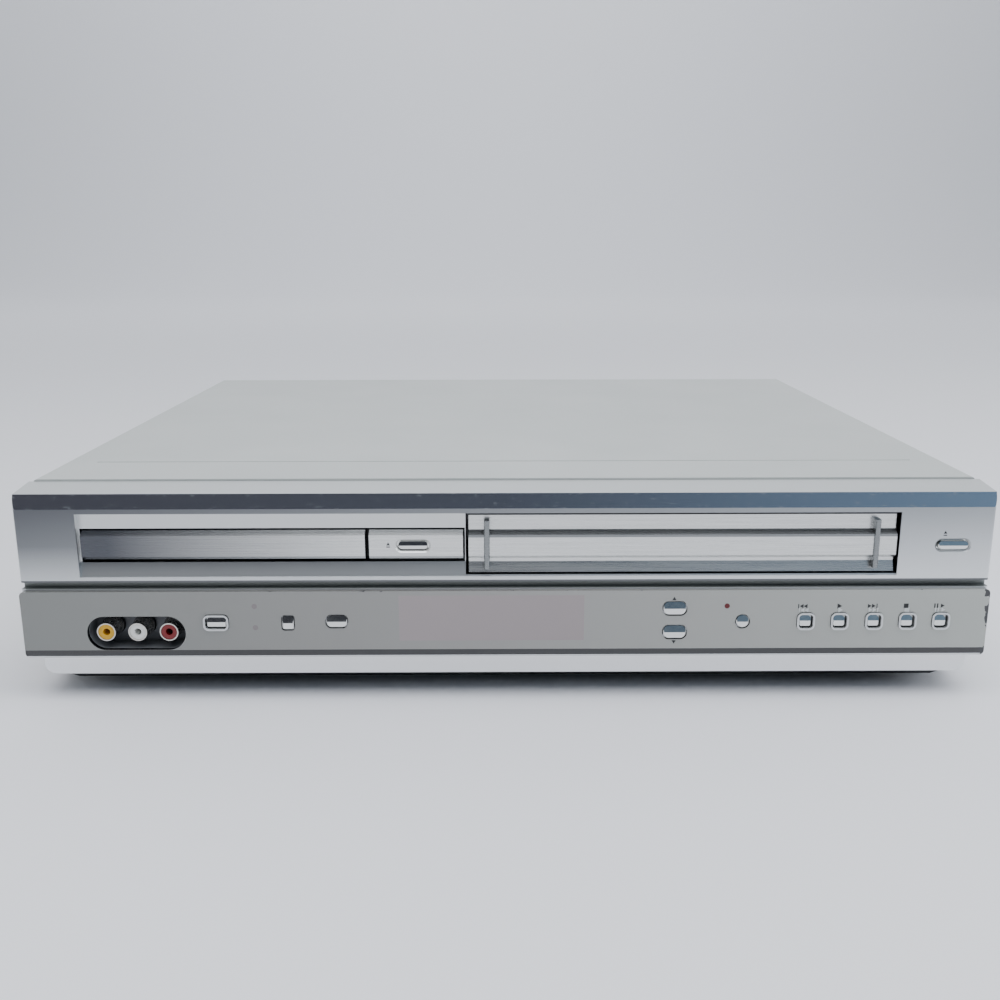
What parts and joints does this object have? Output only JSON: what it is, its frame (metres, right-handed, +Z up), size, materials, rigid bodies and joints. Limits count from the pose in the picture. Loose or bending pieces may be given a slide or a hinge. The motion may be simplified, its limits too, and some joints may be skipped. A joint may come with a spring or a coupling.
{
  "type": "dvd vcr combo player",
  "caption": "Silver disc and cassette player in one flat cabinet, disc tray at left, cassette flap at right, controls behind a clear panel below",
  "frame": {"origin": "centre of the footprint, on the table under the feet", "axes": "+X to the viewer's right, +Y to the rear, +Z up; the front faces -Y"},
  "size_m": [0.43, 0.3746, 0.0975],
  "materials": {
    "cover_paint": "satin silver powder coat",
    "silver_moulding": "sprayed silver lacquer",
    "clear_panel": "clear acrylic, painted silver behind",
    "brushed_fascia": "fine horizontal brush lines",
    "plated_cap": "vacuum plated",
    "black_plastic": "fine moulded grain",
    "display_glass": "smoked, gloss",
    "lamp_plastic": "tinted clear",
    "jack_plating": "nickel plate",
    "yellow_plastic": "moulded",
    "white_plastic": "moulded",
    "red_plastic": "moulded",
    "zinc_steel": "zinc plated sheet",
    "screw_steel": "nickel plated",
    "circuit_board": "varnished paper laminate",
    "grey_plastic": "moulded",
    "drum_metal": "fine turned",
    "foot_rubber": "matte"
  },
  "bodies": {
    "cabinet": {"top_cover": "cover_paint", "front_bezel": "silver_moulding", "panel_window": "clear_panel", "open_close_bar": "brushed_fascia", "button_collars": "plated_cap", "front_jack_block": "black_plastic", "rear_jack_block": "black_plastic", "ac_inlet": "black_plastic", "display_module": "display_glass", "indicator_lights": "lamp_plastic", "front_jack_shells": "jack_plating", "rf_connectors": "jack_plating", "video_jack": "yellow_plastic", "audio_left_jack": "white_plastic", "audio_right_jack": "red_plastic", "base_chassis": "zinc_steel", "rear_panel": "zinc_steel", "clamp_bridge": "zinc_steel", "vhs_chassis": "zinc_steel", "tuner_box": "zinc_steel", "loading_motor": "zinc_steel", "cover_screws": "screw_steel", "front_board": "circuit_board", "main_board": "circuit_board", "power_board": "circuit_board", "dvd_loader_frame": "grey_plastic", "lower_drum": "drum_metal", "rubber_feet": "foot_rubber"},
    "tray": {"disc_tray": "grey_plastic", "tray_front": "brushed_fascia"},
    "tray_drive_gear": {"tray_gear": "white_plastic"},
    "drive_pinion": {"motor_pinion": "black_plastic"},
    "traverse": {"traverse_deck": "zinc_steel", "spindle_motor": "zinc_steel", "sled_rails": "screw_steel"},
    "turntable": {"disc_turntable": "grey_plastic"},
    "pickup": {"pickup_sled": "grey_plastic"},
    "clamper": {"disc_clamper": "black_plastic"},
    "flap": {"vhs_flap": "brushed_fascia"},
    "runners": {"carriage_runners": "grey_plastic"},
    "holder": {"cassette_holder": "zinc_steel"},
    "drum": {"head_drum": "drum_metal"},
    "capstan": {"capstan_flywheel": "screw_steel"},
    "roller_arm": {"pinch_arm": "zinc_steel"},
    "roller": {"pinch_roller": "foot_rubber"},
    "left_reel": {"supply_reel": "white_plastic"},
    "right_reel": {"take_up_reel": "white_plastic"},
    "power_key": {"power_button": "plated_cap"},
    "source_key": {"source_button": "plated_cap"},
    "copy_key": {"copy_button": "plated_cap"},
    "channel_up_key": {"channel_up_button": "plated_cap"},
    "channel_down_key": {"channel_down_button": "plated_cap"},
    "record_key": {"record_button": "plated_cap"},
    "previous_key": {"previous_button": "plated_cap"},
    "play_key": {"play_button": "plated_cap"},
    "next_key": {"next_button": "plated_cap"},
    "stop_key": {"stop_button": "plated_cap"},
    "pause_key": {"pause_button": "plated_cap"},
    "open_close_key": {"open_close_button": "plated_cap"},
    "eject_key": {"eject_button": "plated_cap"}
  },
  "joints": [
    {"name": "tray_slide", "type": "slide", "parent": "cabinet", "child": "tray", "axis": [0, -1, 0], "range_m": [0, 0.136]},
    {"name": "tray_gear_spin", "type": "hinge", "parent": "cabinet", "child": "tray_drive_gear", "pos_m": [-0.164, -0.154, 0.0678], "axis": [0, 0, 1], "continuous": true},
    {"name": "motor_pinion_spin", "type": "hinge", "parent": "cabinet", "child": "drive_pinion", "pos_m": [-0.1452, -0.154, 0.0678], "axis": [0, 0, 1], "continuous": true},
    {"name": "traverse_tilt", "type": "hinge", "parent": "cabinet", "child": "traverse", "pos_m": [-0.1242, -0.016, 0.0647], "axis": [1, 0, 0], "range_deg": [0, 3.6]},
    {"name": "turntable_spin", "type": "hinge", "parent": "traverse", "child": "turntable", "pos_m": [-0.1242, -0.11, 0.073], "axis": [0, 0, 1], "continuous": true},
    {"name": "sled_slide", "type": "slide", "parent": "traverse", "child": "pickup", "axis": [0, 1, 0], "range_m": [0, 0.034]},
    {"name": "clamper_spin", "type": "hinge", "parent": "cabinet", "child": "clamper", "pos_m": [-0.1242, -0.11, 0.08], "axis": [0, 0, 1], "continuous": true},
    {"name": "flap_swing", "type": "hinge", "parent": "cabinet", "child": "flap", "pos_m": [0.078, -0.1784, 0.09], "axis": [1, 0, 0], "range_deg": [0, 88], "stiffness_Nm_per_rad": 0.02, "springref_deg": -17.19},
    {"name": "carriage_slide", "type": "slide", "parent": "cabinet", "child": "runners", "axis": [0, 1, 0], "range_m": [0, 0.05]},
    {"name": "carriage_drop", "type": "slide", "parent": "runners", "child": "holder", "axis": [0, 0, -1], "range_m": [0, 0.021]},
    {"name": "drum_spin", "type": "hinge", "parent": "cabinet", "child": "drum", "pos_m": [0.078, 0.038, 0.054], "axis": [0, 0, 1], "continuous": true},
    {"name": "capstan_spin", "type": "hinge", "parent": "cabinet", "child": "capstan", "pos_m": [0.148, 0.021, 0.03], "axis": [0, 0, 1], "continuous": true},
    {"name": "pinch_arm_swing", "type": "hinge", "parent": "cabinet", "child": "roller_arm", "pos_m": [0.17, 0.038, 0.039], "axis": [0, 0, 1], "range_deg": [-24, 0]},
    {"name": "pinch_roller_spin", "type": "hinge", "parent": "roller_arm", "child": "roller", "pos_m": [0.165, 0.0125, 0.05], "axis": [0, 0, 1], "continuous": true},
    {"name": "supply_reel_spin", "type": "hinge", "parent": "cabinet", "child": "left_reel", "pos_m": [0.032, -0.055, 0.033], "axis": [0, 0, 1], "continuous": true},
    {"name": "take_up_reel_spin", "type": "hinge", "parent": "cabinet", "child": "right_reel", "pos_m": [0.124, -0.055, 0.033], "axis": [0, 0, 1], "continuous": true},
    {"name": "power_press", "type": "slide", "parent": "cabinet", "child": "power_key", "axis": [0, 1, 0], "range_m": [0, 0.0008], "stiffness_N_per_m": 300, "springref_m": -0.001},
    {"name": "source_press", "type": "slide", "parent": "cabinet", "child": "source_key", "axis": [0, 1, 0], "range_m": [0, 0.0008], "stiffness_N_per_m": 300, "springref_m": -0.001},
    {"name": "copy_press", "type": "slide", "parent": "cabinet", "child": "copy_key", "axis": [0, 1, 0], "range_m": [0, 0.0008], "stiffness_N_per_m": 300, "springref_m": -0.001},
    {"name": "channel_up_press", "type": "slide", "parent": "cabinet", "child": "channel_up_key", "axis": [0, 1, 0], "range_m": [0, 0.0008], "stiffness_N_per_m": 300, "springref_m": -0.001},
    {"name": "channel_down_press", "type": "slide", "parent": "cabinet", "child": "channel_down_key", "axis": [0, 1, 0], "range_m": [0, 0.0008], "stiffness_N_per_m": 300, "springref_m": -0.001},
    {"name": "record_press", "type": "slide", "parent": "cabinet", "child": "record_key", "axis": [0, 1, 0], "range_m": [0, 0.0008], "stiffness_N_per_m": 300, "springref_m": -0.001},
    {"name": "previous_press", "type": "slide", "parent": "cabinet", "child": "previous_key", "axis": [0, 1, 0], "range_m": [0, 0.0008], "stiffness_N_per_m": 300, "springref_m": -0.001},
    {"name": "play_press", "type": "slide", "parent": "cabinet", "child": "play_key", "axis": [0, 1, 0], "range_m": [0, 0.0008], "stiffness_N_per_m": 300, "springref_m": -0.001},
    {"name": "next_press", "type": "slide", "parent": "cabinet", "child": "next_key", "axis": [0, 1, 0], "range_m": [0, 0.0008], "stiffness_N_per_m": 300, "springref_m": -0.001},
    {"name": "stop_press", "type": "slide", "parent": "cabinet", "child": "stop_key", "axis": [0, 1, 0], "range_m": [0, 0.0008], "stiffness_N_per_m": 300, "springref_m": -0.001},
    {"name": "pause_press", "type": "slide", "parent": "cabinet", "child": "pause_key", "axis": [0, 1, 0], "range_m": [0, 0.0008], "stiffness_N_per_m": 300, "springref_m": -0.001},
    {"name": "open_close_press", "type": "slide", "parent": "cabinet", "child": "open_close_key", "axis": [0, 1, 0], "range_m": [0, 0.0008], "stiffness_N_per_m": 300, "springref_m": -0.001},
    {"name": "eject_press", "type": "slide", "parent": "cabinet", "child": "eject_key", "axis": [0, 1, 0], "range_m": [0, 0.0008], "stiffness_N_per_m": 300, "springref_m": -0.001}
  ],
  "couplings": [
    {"joint": "tray_gear_spin", "follows": "tray_slide", "rad_per_m": 83.333},
    {"joint": "motor_pinion_spin", "follows": "tray_slide", "rad_per_m": -147.06}
  ]
}
